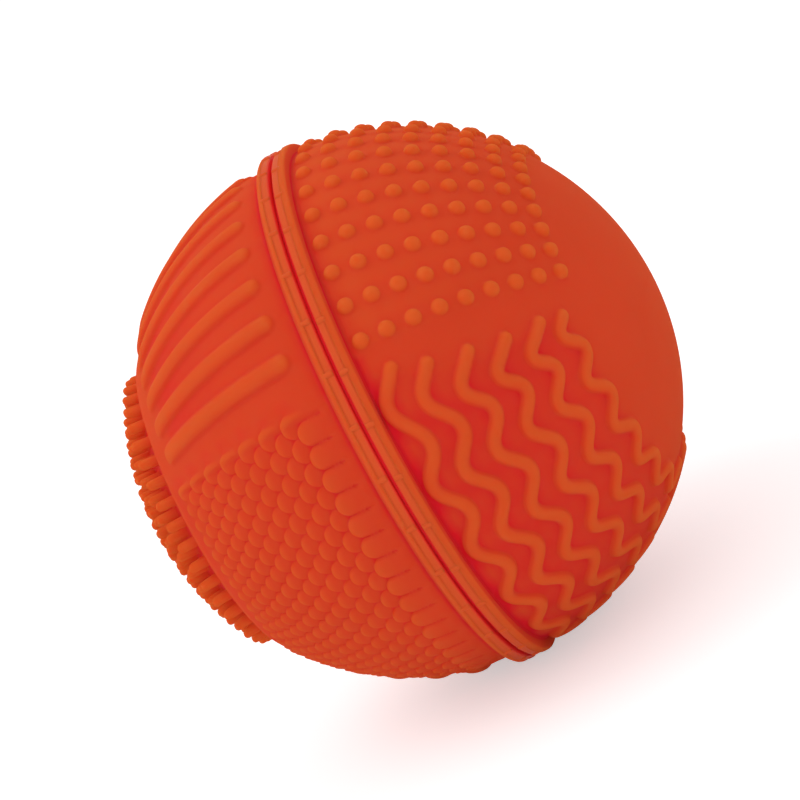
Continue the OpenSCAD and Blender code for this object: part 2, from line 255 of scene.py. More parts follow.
class Skin:
    """Gathers the places of one half's outside, flat about its pole, and joins them to one surface."""

    margin, slack, nose_span = 0.0004, 0.00004, 6
    plain_lat, plain_step = 5.0, 0.0013

    def __init__(self, radius):
        self.radius = radius
        self.flat, self.places, self.lines, self.clear = [], [], [], []
        self.count = 0

    def add(self, places, seen=None):
        """Adds places. seen are the points of the ball under them, where these aren't straight below."""
        under = places if seen is None else seen
        unit = under / np.linalg.norm(under, axis=1)[:, None]
        spread = np.hypot(unit[:, 1], unit[:, 2])
        flat = unit[:, 1:] * (np.tan(np.arctan2(spread, unit[:, 0]) / 2) / np.maximum(spread, 1e-12))[:, None]
        self.flat.append(flat)
        self.places.append(places)
        self.count += len(places)
        return range(self.count - len(places), self.count)

    def line(self, ids, closed=False):
        """Keeps the edges between places that follow each other."""
        ids = list(ids)
        self.lines += list(zip(ids, ids[1:] + ids[:1] if closed else ids[1:]))

    def raised(self, places, rise):
        """The places moved out from the ball by a rise."""
        unit = places / np.linalg.norm(places, axis=1)[:, None]
        return unit * (self.radius + np.broadcast_to(rise, len(places)))[:, None]

    def dot(self, centre, half_width, rise, sides=20, shares=DOT_SHARES):
        """A domed dot with a filleted foot."""
        out = centre / np.linalg.norm(centre)
        side = np.cross(out, (1, 0, 0))
        side /= np.linalg.norm(side)
        up = np.cross(out, side)
        for k, (width, height) in enumerate(shares):
            a = np.linspace(0, 2 * np.pi, sides, endpoint=False) + k % 2 * np.pi / sides
            ring = out * self.radius + half_width * width * (np.cos(a)[:, None] * side + np.sin(a)[:, None] * up)
            self.line(self.add(self.raised(ring, rise * height)), closed=True)
        self.add(self.raised(centre[None, :], rise))
        self.clear.append((centre[None, :], half_width * shares[0][0] + self.margin))

    def cord(self, spine, half_width, rise, step=0.00055, nose_lat=None):
        """A half-round cord along a line of places, with round ends and filleted feet. It slopes down to nose_lat."""

        def lifted(places, share):
            """The places at a share of the cord's rise, lower towards the nose."""
            lat = np.degrees(np.arcsin(places[:, 0] / np.linalg.norm(places, axis=1)))
            slope = 1 if nose_lat is None else np.clip((nose_lat - lat) / self.nose_span, 0, 1) ** 0.5
            return self.raised(places, rise * share * slope)

        spine = self.raised(even_steps(spine, step), 0)
        run = np.gradient(spine, axis=0)
        out = spine / self.radius
        side = np.cross(out, run)
        side /= np.linalg.norm(side, axis=1)[:, None]
        ahead = np.cross(side, out)
        for width, height in CORD_SHARES:
            d = half_width * width
            a = np.linspace(0, np.pi, max(5, round(np.pi * d / step)))[1:-1, None]
            loop = np.concatenate([
                spine + side * d,
                spine[-1] + d * (np.cos(a) * side[-1] + np.sin(a) * ahead[-1]),
                spine[::-1] - side[::-1] * d,
                spine[0] - d * (np.cos(a) * side[0] + np.sin(a) * ahead[0]),
            ])
            loop = self.raised(loop, 0)
            loop = loop[distances(loop, spine) > d - self.slack]
            gap = np.linalg.norm(loop - np.roll(loop, 1, axis=0), axis=1)
            loop = loop[gap > step * 0.25]
            self.line(self.add(lifted(loop, height)), closed=True)
        self.line(self.add(lifted(spine, 1)))
        self.clear.append((spine, half_width * CORD_SHARES[0][0] + self.margin))

    def plain(self, last_lat, outside=None):
        """Fills the open ball between the raised shapes with evenly spread places."""
        gathered = []
        rows = max(1, round(math.radians(last_lat - self.plain_lat) * self.radius / self.plain_step))
        for k, lat in enumerate(np.linspace(self.plain_lat, last_lat, rows + 1)):
            round_it = max(1, round(2 * math.pi * self.radius * math.cos(math.radians(lat)) / self.plain_step))
            turn = np.linspace(0, 360, round_it, endpoint=False) + (180 / round_it if k % 2 else 0)
            keep = np.ones(len(turn), bool) if outside is None else outside(np.full(len(turn), lat), turn)
            gathered.append(on_ball(lat, turn[keep], self.radius))
        places = np.concatenate(gathered)
        for spine, reach in self.clear:
            near = np.linalg.norm(places - spine.mean(0), axis=1) < np.ptp(spine, axis=0).max() + reach
            far = np.ones(len(places), bool)
            far[near] = distances(places[near], spine) > reach
            places = places[far]
        self.add(places)

    def surface(self):
        """Places and triangles of the joined surface, seen from outside."""
        flat, places = np.concatenate(self.flat), np.concatenate(self.places)
        points, _, faces, origin, _, _ = delaunay_2d_cdt([Vector(p) for p in flat], self.lines, [], 0, 1e-9)
        known = np.array([o[0] if o else -1 for o in origin])
        made = places[known]
        faces = np.array(faces)
        for k in np.flatnonzero(known < 0):
            ring = np.unique(faces[(faces == k).any(1)])
            made[k] = made[ring[known[ring] >= 0]].mean(0)
        return made, faces, known, np.array(points)


def shelter(flat, heights, faces, rim_rise, cells=420, reach=0.035, extent=1.05):
    """How much lower each place lies than the mean of the surface round it, in metres."""
    cell_width = 2 * extent / cells
    land_from, land_share = 0.942, 0.4
    a, b, c = (flat[faces[:, k]] for k in range(3))
    area = np.abs((b - a)[:, 0] * (c - a)[:, 1] - (b - a)[:, 1] * (c - a)[:, 0]) / 2

    def cell(places):
        near = np.clip((places + extent) / (2 * extent) * cells, 0, cells - 1).astype(int)
        return near[:, 0] * cells + near[:, 1]

    index = cell((a + b + c) / 3)
    weight = np.bincount(index, area, cells * cells).reshape(cells, cells)
    total = np.bincount(index, area * heights[faces].mean(1), cells * cells).reshape(cells, cells)
    along = (np.arange(cells) + 0.5) * cell_width - extent
    away = np.hypot(along[:, None], along[None, :])
    # The rims' lands count as raised ground here, so the painted shade deepens at their feet
    land = (away > land_from) & (away < 1)
    weight[land] = cell_width**2
    total[land] = weight[land] * rim_rise * land_share
    lag = np.minimum(np.arange(cells), cells - np.arange(cells)) * cell_width
    kernel = np.fft.rfft2(np.exp(-(lag[:, None] ** 2 + lag[None, :] ** 2) / (2 * reach**2)))
    total, weight = (np.fft.irfft2(np.fft.rfft2(v) * kernel, (cells, cells)) for v in (total, weight))
    return (total / np.maximum(weight, 1e-9)).ravel()[cell(flat)] - heights


def turned(section, turns):
    """Rings of places about X from a section of (x, radius) points."""
    a = np.radians(turns)
    around = np.stack([np.zeros_like(a), -np.cos(a), -np.sin(a)], axis=1)
    return np.concatenate([around * r + (x, 0, 0) for x, r in section])


def ring_faces(first, second):
    """Quads between two closed rings of place numbers."""
    return [(a, b, d, c) for a, b, c, d in zip(first, np.roll(first, -1), second, np.roll(second, -1))]


def mark_hollows(mesh, sheltered, rounds=2):
    """Writes how hollow the surface is at each place, from -1 on crests to 1 in corners and deep valleys, for painted
    highlight and painted shade.
    """
    places = np.empty(len(mesh.vertices) * 3)
    mesh.vertices.foreach_get("co", places)
    places = places.reshape(-1, 3)
    normals = np.empty(len(mesh.vertices) * 3)
    mesh.vertices.foreach_get("normal", normals)
    normals = normals.reshape(-1, 3)
    edges = np.empty(len(mesh.edges) * 2, int)
    mesh.edges.foreach_get("vertices", edges)
    a, b = edges.reshape(-1, 2).T
    run = places[b] - places[a]
    run /= np.maximum(np.linalg.norm(run, axis=1), 1e-9)[:, None]
    count = np.bincount(a, minlength=len(places)) + np.bincount(b, minlength=len(places))
    lean = np.bincount(a, (normals[a] * run).sum(1), len(places)) - np.bincount(
        b, (normals[b] * run).sum(1), len(places)
    )
    lean /= np.maximum(count, 1)
    for _ in range(rounds):
        near = np.bincount(a, lean[b], len(places)) + np.bincount(b, lean[a], len(places))
        lean = 0.4 * lean + 0.6 * near / np.maximum(count, 1)
    # The value below paints shade into hollows, creases and low valleys and a highlight onto crests
    valley_start, valley_span, crest_span = 0.00028, 0.0003, 0.0011
    valley = np.clip((sheltered - valley_start) / valley_span, 0, 1) - np.clip(-sheltered / crest_span, 0, 1)
    hollow = np.clip(lean * np.where(lean > 0, 3.0, 1.6) + valley * 0.8, -1, 1)
    layer = mesh.attributes.new("hollow", "FLOAT", "POINT")
    layer.data.foreach_set("value", hollow.astype(np.float32))


def make_piece(name, places, faces, sheltered):
    """A smooth mesh object in the scene. sheltered says how low its first places lie in their surroundings, with
    painted shade and highlight added, and sets their painted shade and highlight.
    """
    mesh = bpy.data.meshes.new(name)
    mesh.from_pydata(np.asarray(places).tolist(), [], faces)
    mesh.validate()
    mesh.polygons.foreach_set("use_smooth", np.ones(len(mesh.polygons), bool))
    mesh.update()
    mark_hollows(mesh, np.concatenate([sheltered, np.zeros(len(places) - len(sheltered))]))
    piece = bpy.data.objects.new(name, mesh)
    bpy.context.scene.collection.objects.link(piece)
    return piece


def rim_section(ball, slant):
    """(x, radius) points from the ball over the rim's land, which leans in by a slant, and the mouth to the inside."""
    strip_x = ball.groove_width / 2 + ball.strip_width
    land_x = strip_x + ball.land_width
    top, inner = ball.radius + ball.rim_rise, ball.radius - ball.wall
    low = math.sqrt(ball.radius**2 - land_x**2) - ball.rim_dip
    outside = [
        (land_x + 0.36 * MM, low + 0.05 * MM),
        (land_x + 0.16 * MM, low + 0.18 * MM),
        (land_x + 0.06 * MM, low + 0.45 * MM),
        (land_x - 0.5 * slant, top - 0.65 * MM),
        (land_x - 0.05 * MM - 0.75 * slant, top - 0.4 * MM),
        (land_x - 0.15 * MM - slant, top - 0.2 * MM),
        (land_x - 0.32 * MM - slant, top - 0.06 * MM),
        (land_x - 0.55 * MM - slant, top),
        (strip_x + 0.3 * MM, top),
        (strip_x + 0.15 * MM, top - 0.01 * MM),
        (strip_x + 0.05 * MM, top - 0.05 * MM),
        (strip_x + 0.01 * MM, top - 0.14 * MM),
        (strip_x + 0.01 * MM, inner + 0.1 * MM),
        (strip_x + 0.1 * MM, inner + 0.02 * MM),
        (ball.mouth_depth - 0.1 * MM, inner + 0.02 * MM),
        (ball.mouth_depth + 0.02 * MM, inner - 0.1 * MM),
    ]
    first = math.degrees(math.asin(ball.mouth_depth / inner)) + 0.4
    lats = np.radians(np.linspace(first, 88, 16))
    return outside + [(inner * math.sin(a), inner * math.cos(a)) for a in lats]


def half_piece(name, skin, ball, mirrored, painted_shading):
    """A closed half shell: gathered outside, rim, mouth and inside. The last argument changes how sheltered its places
    are, which sets their painted shade and highlight.
    """
    dip_lat, dip_span, land_slant = 9.5, 5.5, 0.00045
    turns = np.linspace(0, 360, RIM_SIDES, endpoint=False)
    skin.line(skin.add(on_ball(RIM_LAT, turns, ball.radius)), closed=True)
    rim_first = skin.count - len(turns)
    places, faces, known, flat = skin.surface()
    reach = np.linalg.norm(places, axis=1)
    lat = np.degrees(np.arcsin(places[:, 0] / reach))
    dip = ball.rim_dip * np.clip((dip_lat - lat) / dip_span, 0, 1) ** 1.5
    places = places * (1 - dip / reach)[:, None]
    sheltered = shelter(flat, np.linalg.norm(places, axis=1) - ball.radius, faces, ball.rim_rise)
    # The half's own painted shade and highlight adjust how sheltered each place counts
    sheltered = painted_shading(places, sheltered)
    where = np.empty(skin.count, int)
    where[known[known >= 0]] = np.flatnonzero(known >= 0)
    ring = where[rim_first : rim_first + len(turns)]
    section = rim_section(ball, land_slant if mirrored else 0)
    faces = faces.tolist()
    for k in range(len(section)):
        following = np.arange(len(turns)) + len(places) + k * len(turns)
        faces += [f[::-1] for f in ring_faces(ring, following)]
        ring = following
    apex = len(places) + len(section) * len(turns)
    faces += [(b, a, apex) for a, b in zip(ring, np.roll(ring, -1))]
    # Painted shadow at the foot of the rim's land, stronger on the dotted half, and a painted highlight along the
    # land's top and edges
    foot = [0.0002, 0.0003, 0.0002] if mirrored else [0.0005, 0.0006, 0.0003]
    land = foot + [0, -0.0003] + [-0.0006] * 7 + [0] * (len(section) - 12)
    sheltered = np.concatenate([sheltered, np.repeat(land, len(turns))])
    places = np.concatenate([places, turned(section, turns), [(ball.radius - ball.wall, 0, 0)]])
    if mirrored:
        places = places * (-1, 1, 1)
        faces = [f[::-1] for f in faces]
    return make_piece(name, places, faces, sheltered)


def rounded(corners, cut):
    """Places along straight legs between corners, with each corner rounded off from a cut before it to a cut after."""
    made = [corners[0]]
    for before, corner, after in zip(corners, corners[1:], corners[2:]):
        first = corner + (before - corner) / np.linalg.norm(before - corner) * cut
        last = corner + (after - corner) / np.linalg.norm(after - corner) * cut
        made += [(1 - t) ** 2 * first + 2 * t * (1 - t) * corner + t * t * last for t in np.linspace(0, 1, 9)]
    made.append(corners[-1])
    return np.array(made)


def wave_line(ball, cord):
    """Places along the middle of a wavy cord: its start, then rounded zigzags that drift slightly towards the pole."""
    start_turn, start_lat, first = CORD_STARTS[cord]
    spread, drift, drift_from, drift_to = 0.18, 0.012, 20, 90
    bends = np.arange(WAVE_BENDS)
    turns = np.where(bends, WAVE_TURN + WAVE_TURN_STEP * bends, first)
    middle = WAVE_LAT + WAVE_LAT_STEP * cord + spread * cord * cord
    middle = middle + drift * (np.minimum(turns, drift_to) - drift_from)
    lats = middle + np.where(bends % 2, WAVE_SWING, -WAVE_SWING)
    corners = on_ball(np.append(start_lat, lats), ball.patch_turn + np.append(start_turn, turns), ball.radius)
    return rounded(corners, 0.0033 - 0.0001 * cord)


class BALL_OT_dotted_half(Operator):
    """Build the half with dots, wavy cords and back ribs"""

    bl_idname = "sensory_ball.dotted_half"
    bl_label = "Dotted Half"

    def execute(self, context):
        ball, texture = context.scene.ball_sizes, context.scene.ball_texture
        skin = Skin(ball.radius)
        for row in range(texture.dot_rows):
            for k in range(texture.dots_in_row):
                turn = ball.patch_turn - DOT_TURN - DOT_TURN_STEP * row
                centre = on_ball(DOT_LAT + DOT_LAT_STEP * k, turn, ball.radius)[0]
                skin.dot(centre, texture.dot_width / 2, texture.dot_rise)
        for cord in range(texture.wave_cords):
            skin.cord(wave_line(ball, cord), texture.wave_width / 2, texture.wave_rise)
        for k in range(texture.back_rib_count):
            turn = ball.patch_turn + BACK_RIB_TURN + RIB_TURN_STEP * k
            spine = on_ball(np.linspace(*BACK_RIB_LATS, 80), turn, ball.radius)
            skin.cord(spine, texture.rib_width / 2, texture.back_rib_rise, step=0.0007)
        skin.plain(89)

        def painted_shading(places, sheltered):
            """Less painted shade between the dots"""
            patch_from, patch_lat, shade_cut = 185, 54, 0.0005
            lat, turn = lat_turn(places)
            dots = ((turn - ball.patch_turn) % 360 > patch_from) & (lat < patch_lat)
            return sheltered - np.where(dots, shade_cut, 0)

        piece = half_piece("dotted_half_skin", skin, ball, False, painted_shading)
        piece.data.materials.append(silicone(context))
        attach(piece, "dotted_half")
        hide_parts("dotted_half_shell")
        return {"FINISHED"}


class ScaleField:
    """Places of the scale patch: columns along the turn, each over all rows of scales."""

    pitch, first_tip, row_lat, row_step, root_lat = 5.36, 6.3, 12.9, 2.83, 6.8
    roll_drop, crown_drop, outer_rise, sink = 0.00024, 0.00032, 0.0006, 0.0003

    def __init__(self, texture):
        self.rise, self.step = texture.scale_rise, texture.scale_step
        self.rows, self.wide = texture.scale_rows, texture.scales_in_row
        shares = np.array([0, 0.09, 0.27, 0.5, 0.73, 0.91])
        halves = 2 * self.wide
        inner = (np.arange(halves)[:, None] + shares).ravel() * self.pitch / 2
        left = self.first_tip - self.pitch / 2
        self.turns = left + np.concatenate([[-0.08], inner[1:], [halves * self.pitch / 2 + 0.08]])

    def tip_lat(self, row):
        """Latitude of a row's tips."""
        return self.row_lat + self.row_step * row

    def across(self, row):
        """Offsets of columns from their scale's middle, -1 to 1, if a scale is there, and if on the patch's edge."""
        odd = row % 2
        shift = (self.turns - self.first_tip) / self.pitch - (0 if odd else 0.5)
        tip = np.round(shift)
        there = (tip >= 0) & (tip <= self.wide - (1 if odd else 2)) & (np.abs(shift - tip) < 0.4999)
        outer = (tip == 0) & (shift < tip) | (tip == self.wide - 1) & (shift > tip)
        return 2 * (shift - tip), there, outer & bool(odd)

    def edge(self, row):
        """Latitude of a row's rounded edge at each column."""
        u, _, _ = self.across(row)
        deep = 1.08 * self.pitch / 2 * math.cos(math.radians(self.tip_lat(row)))
        return self.tip_lat(row) - deep * (1 - np.sqrt(1 - (0.97 * np.clip(u, -1, 1)) ** 2))

    def height(self, row, lat):
        """Rise of a row's surface at each column: a crowned ramp up to the tip with a rolled edge."""
        u, _, outer = self.across(row)
        u = np.clip(np.abs(u), 0, 1)
        back = (self.tip_lat(row) - lat) / self.row_step
        roll = self.roll_drop * (1 - np.sqrt(1 - np.clip(1 - (self.edge(row) - lat) / 0.9, 0, 1) ** 2))
        crown = self.crown_drop * (1 - np.sqrt(1 - (0.985 * u) ** 2))
        ramp = np.maximum(self.rise - self.step * back, -self.sink)
        if row == 0:
            share = np.clip((lat - self.root_lat) / (self.row_lat - self.root_lat), 0, 1)
            ramp = self.rise * share**1.2
            crown = crown * np.clip((lat - self.root_lat) / 3, 0, 1) ** 0.7
        inner = ramp - crown - roll
        free = self.outer_rise * np.clip(1 - back / 2.3, 0, 1) * np.sqrt(1 - u**5) - roll
        blend = np.clip(u / 0.5, 0, 1)
        return np.where(outer, np.maximum(inner + (free - inner) * blend, -self.sink * (1 - blend)), inner)

    def top(self, lat, first_row):
        """Rise of the patch at each column where the rows before first_row have ended."""
        rise, open_yet = np.zeros(len(self.turns)), np.ones(len(self.turns), bool)
        for row in range(first_row, self.rows):
            _, there, _ = self.across(row)
            here = open_yet & there & (lat <= self.edge(row) + 1e-6)
            rise = np.where(here, self.height(row, lat), rise)
            open_yet &= ~here
        return rise

    def lines(self):
        """(latitude, rise) at each column, line after line from the seam towards the pole."""
        floor = np.full(len(self.turns), self.root_lat - 0.3)
        made = [(floor, np.zeros(len(floor)))]
        start = floor
        for row in range(self.rows):
            end = self.edge(row)
            for share in (0.9, 0.7, 0.52, 0.36, 0.22, 0.11, 0.04):
                lat = end - (end - start) * share
                made.append((lat, self.top(lat, row)))
            _, there, _ = self.across(row)
            foot = end + 0.13
            brink, under = made[-1][1], self.top(foot, row + 1)
            made.append((end, np.where(there, 0.6 * brink + 0.4 * under, self.top(end, row + 1))))
            made.append((foot, under))
            start = foot
        return made

    def outside(self, lat, turn, patch_turn):
        """Whether places lie off the patch."""
        turn = (turn - patch_turn) % 360
        last = self.tip_lat(self.rows - 1) + 1.3
        beside = (turn <= self.turns[0] - 1) | (turn >= self.turns[-1] + 1)
        return beside | (lat <= self.root_lat - 1.2) | (lat >= last)


def add_fingers(skin, ball, texture):
    """The round recess at the pole with its rings of upright fingers."""
    floor_r, tip_r = ball.radius - texture.recess_depth, ball.radius + texture.finger_rise
    around = np.linspace(0, 360, 200, endpoint=False)

    def upright(reach, turn, x):
        """Places at a reach from the pole axis, and the points of the ball under them."""
        a = np.radians(turn)
        flat = np.stack([np.zeros_like(a), -reach * np.cos(a), -reach * np.sin(a)], axis=-1)
        return flat + along_x(np.full(a.shape, x)), flat + along_x(np.sqrt(ball.radius**2 - (flat**2).sum(-1)))

    edge = texture.recess_radius
    top, base = math.sqrt(ball.radius**2 - edge**2), math.sqrt(floor_r**2 - edge**2)
    for reach, x in [
        (edge + 1.4 * MM, math.sqrt(ball.radius**2 - (edge + 1.4 * MM) ** 2)),
        (edge + 0.9 * MM, top - 0.69 * MM),
        (edge + 0.5 * MM, top - 0.53 * MM),
        (edge + 0.2 * MM, top - 0.56 * MM),
        (edge + 0.02 * MM, top - 0.8 * MM),
        (edge - 0.08 * MM, base + 0.5 * MM),
        (edge - 0.25 * MM, base + 0.22 * MM),
        (edge - 0.6 * MM, math.sqrt(floor_r**2 - (edge - 0.6 * MM) ** 2)),
    ]:
        skin.line(skin.add(*upright(np.full(len(around), reach), around, x)), closed=True)

    step = texture.finger_ring / texture.finger_rings
    half = texture.finger_width / 2
    sides = np.linspace(0, 2 * np.pi, 12, endpoint=False)
    first_turn, lean_out, dome = math.radians(4.2), 0.28, 0.3 * MM
    for k in range(texture.finger_rings + 1):
        ring = texture.finger_ring - step * k
        pair = texture.finger_ring - step * (k - k % 2)
        count = max(1, round(2 * math.pi * pair / texture.finger_pitch)) if k < texture.finger_rings else 1
        for i in range(count):
            a = first_turn + 2 * math.pi / count * (i + (0.5 if k % 2 else 0))
            centre = np.array([0, -ring * math.cos(a), -ring * math.sin(a)])
            domed = dome * (1 - (ring / texture.finger_ring) ** 2)
            tip, foot = math.sqrt((tip_r + domed) ** 2 - ring**2), math.sqrt(floor_r**2 - ring**2)
            splay = lean_out / foot
            for width, above, below in FINGER_ROWS:
                flat = centre + half * width * np.stack([0 * sides, np.cos(sides), np.sin(sides)], axis=1)
                reach = (flat**2).sum(1)
                under = flat + along_x(np.sqrt(ball.radius**2 - reach))
                if below is None:
                    x = np.sqrt(floor_r**2 - reach) + above * MM
                else:
                    x = np.full(len(sides), tip - below * half)
                places = flat + splay * centre * (x - foot)[:, None] + along_x(x)
                skin.line(skin.add(places, under), closed=True)
            top = centre * (1 + splay * (tip - foot)) + (tip, 0, 0)
            skin.add(top[None, :], (centre + (math.sqrt(ball.radius**2 - ring**2), 0, 0))[None, :])


class BALL_OT_ribbed_half(Operator):
    """Build the half with ribs, scales, knobs and pole fingers"""

    bl_idname = "sensory_ball.ribbed_half"
    bl_label = "Ribbed Half"

    def execute(self, context):
        ball, texture = context.scene.ball_sizes, context.scene.ball_texture
        skin = Skin(ball.radius)
        for k in range(texture.rib_count):
            turn = ball.patch_turn - RIB_TURN - RIB_TURN_STEP * k
            spine = on_ball(np.linspace(*RIB_LATS, 80), turn, ball.radius)
            skin.cord(spine, texture.rib_width / 2, texture.rib_rise, step=0.0007, nose_lat=RIB_NOSE_LAT)
        for row in range(texture.knob_rows):
            for k in range(texture.knobs_in_row):
                turn = ball.patch_turn + KNOB_TURN + KNOB_TURN_STEP * row
                centre = on_ball(KNOB_LAT + KNOB_LAT_STEP * k, turn, ball.radius)[0]
                skin.dot(centre, texture.knob_width / 2, texture.knob_rise, sides=32, shares=KNOB_SHARES)
        field = ScaleField(texture)
        for lat, rise in field.lines():
            skin.line(skin.add(on_ball(lat, ball.patch_turn + field.turns, ball.radius + rise)))
        add_fingers(skin, ball, texture)
        last = math.degrees(math.acos((texture.recess_radius + 2 * MM) / ball.radius))
        skin.plain(last, lambda lat, turn: field.outside(lat, turn, ball.patch_turn))

        def painted_shading(places, sheltered):
            """More painted shade and painted highlight on the scales, less painted shade between the ribs, painted
            shade growing towards the recess and on its floor, and a painted highlight up the fingers
            """
            valleys, tops, rib_gaps = 1.2, 1.7, 0.85
            border_shade, border_span = 0.00055, 4.5
            recess_shade, tip_highlight, tip_height = 0.00045, 0.0015, 0.0018
            lat, turn = lat_turn(places)
            scales = ~field.outside(lat, turn, ball.patch_turn)
            contrast = np.where(sheltered > 0, valleys, tops)
            sheltered = np.where(scales, sheltered * contrast, np.minimum(sheltered, sheltered * rib_gaps))
            sheltered += border_shade * np.clip((lat - RIB_NOSE_LAT) / border_span, 0, 1)
            stands = np.linalg.norm(places, axis=1) - ball.radius + texture.recess_depth
            in_recess = recess_shade - tip_highlight * np.clip(stands / tip_height, 0, 1)
            return np.where(lat > math.degrees(math.acos(texture.recess_radius / ball.radius)), in_recess, sheltered)

        piece = half_piece("ribbed_half_skin", skin, ball, True, painted_shading)
        piece.data.materials.append(silicone(context))
        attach(piece, "ribbed_half")
        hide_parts("ribbed_half_shell")
        return {"FINISHED"}


class BALL_OT_mouth_rings(Operator):
    """Build the firm rings in both mouths, with their strips and pegs"""

    bl_idname = "sensory_ball.mouth_rings"
    bl_label = "Mouth Rings"

    def execute(self, context):
        ball = context.scene.ball_sizes
        for half, side, peg_turn in (("dotted", 1, -3.2), ("ribbed", -1, -4.1)):
            piece = self.ring(half + "_mouth_band", ball, side, peg_turn)
            piece.data.materials.append(moulded(context, "mouth_band", context.scene.ball_finish.ring))
            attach(piece, half + "_half")
            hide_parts(half + "_mouth_ring")
        return {"FINISHED"}

    def ring(self, name, ball, side, peg_turn):
        """One mouth ring on its side of the seam, with its first peg at a turn."""
        seam_x = ball.groove_width / 2
        strip_x = seam_x + ball.strip_width
        top = ball.radius + ball.rim_rise - ball.strip_drop
        inner = ball.radius - ball.wall
        bore = inner - ball.mouth_wall
        section = [
            (seam_x + 0.36 * MM, top),
            (strip_x - 0.4 * MM, top),
            (strip_x - 0.2 * MM, top + 0.02 * MM),
            (strip_x - 0.06 * MM, top + 0.06 * MM),
            (strip_x, top + 0.13 * MM),
            (strip_x, inner + 0.1 * MM),
            (strip_x + 0.1 * MM, inner),
            (ball.mouth_depth - 0.25 * MM, inner),
            (ball.mouth_depth, inner - 0.25 * MM),
            (ball.mouth_depth, bore + 0.25 * MM),
            (ball.mouth_depth - 0.25 * MM, bore),
            (seam_x + 0.3 * MM, bore),
            (seam_x, bore + 0.3 * MM),
            (seam_x, top - 1.2 * MM),
            (seam_x, top - 0.4 * MM),
            (seam_x + 0.06 * MM, top - 0.18 * MM),
            (seam_x + 0.18 * MM, top - 0.05 * MM),
        ]
        turns = np.linspace(0, 360, RIM_SIDES, endpoint=False)
        places = [turned(section, turns)]
        rings = np.arange(len(section) * len(turns)).reshape(len(section), -1)
        faces = [f for k in range(len(section)) for f in ring_faces(rings[k], rings[(k + 1) % len(section)])]
        count = rings.size
        for k in range(ball.peg_count):
            made, joined = self.peg(ball, peg_turn + 360 / ball.peg_count * k)
            places.append(made)
            faces += [tuple(n + count for n in f) for f in joined]
            count += len(made)
        if side > 0:
            faces = [f[::-1] for f in faces]
        # Painted highlight along the ring's top and painted shade down the seam groove's wall
        in_groove = [x == seam_x and r > bore + 0.5 * MM for x, r in section]
        shade_and_highlight = [-0.0002 if r >= top else 0.0006 if deep else 0.0 for (_, r), deep in zip(section, in_groove)]
        return make_piece(name, np.concatenate(places) * (side, 1, 1), faces, np.repeat(shade_and_highlight, len(turns)))

    def peg(self, ball, turn):
        """Places and faces of one rounded peg that bridges the strip and laps onto the land."""
        rows, columns = 11, 9
        inset, lap, sunk, proud = 0.00008, 0.0005, 0.0004, 0.00016
        seam_x = ball.groove_width / 2
        length = ball.strip_width + lap
        depth = ball.strip_drop + sunk
        u, v = (np.sin(np.linspace(-0.5, 0.5, count) * np.pi) for count in (rows, columns))
        u, v = (g.ravel() for g in np.meshgrid(u, v, indexing="ij"))
        x = seam_x + inset + length / 2 * (1 + u * (1 - 0.06 * v**4))
        rise = np.clip(1 - u**6, 0, 1) ** 0.5 * np.clip(1 - v**2, 0, 1) ** 0.8
        r = ball.radius + ball.rim_rise + proud - depth * (1 - rise)
        a = np.radians(turn) + ball.peg_width / 2 * v * (1 - 0.08 * u**4) / ball.radius
        places = np.stack([x, -r * np.cos(a), -r * np.sin(a)], axis=1)
        grid = np.arange(rows * columns).reshape(rows, columns)
        cells = [(i, j) for i in range(rows - 1) for j in range(columns - 1)]
        faces = [(grid[i, j], grid[i + 1, j], grid[i + 1, j + 1], grid[i, j + 1]) for i, j in cells]
        border = [*grid[:, 0], *grid[-1, 1:], *grid[-2::-1, -1], *grid[0, -2:0:-1]]
        return places, faces + [tuple(border[::-1])]


class BALL_OT_joining_ring(Operator):
    """Give the hidden joining ring its moulded finish"""

    bl_idname = "sensory_ball.joining_ring"
    bl_label = "Joining Ring"

    def execute(self, context):
        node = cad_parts["joining_ring"]
        node.data.materials.clear()
        node.data.materials.append(moulded(context, "joining_band", context.scene.ball_finish.ring_and_shade_red))
        return {"FINISHED"}


def set_inputs(node, values):
    """Sets a node's inputs by name or number."""
    for name, value in values.items():
        node.inputs[name].default_value = value


def node_at(tree, kind, values=None, **settings):
    """A new node with the values of its inputs and its settings."""
    node = tree.nodes.new(kind)
    for name, value in settings.items():
        setattr(node, name, value)
    set_inputs(node, values or {})
    return node


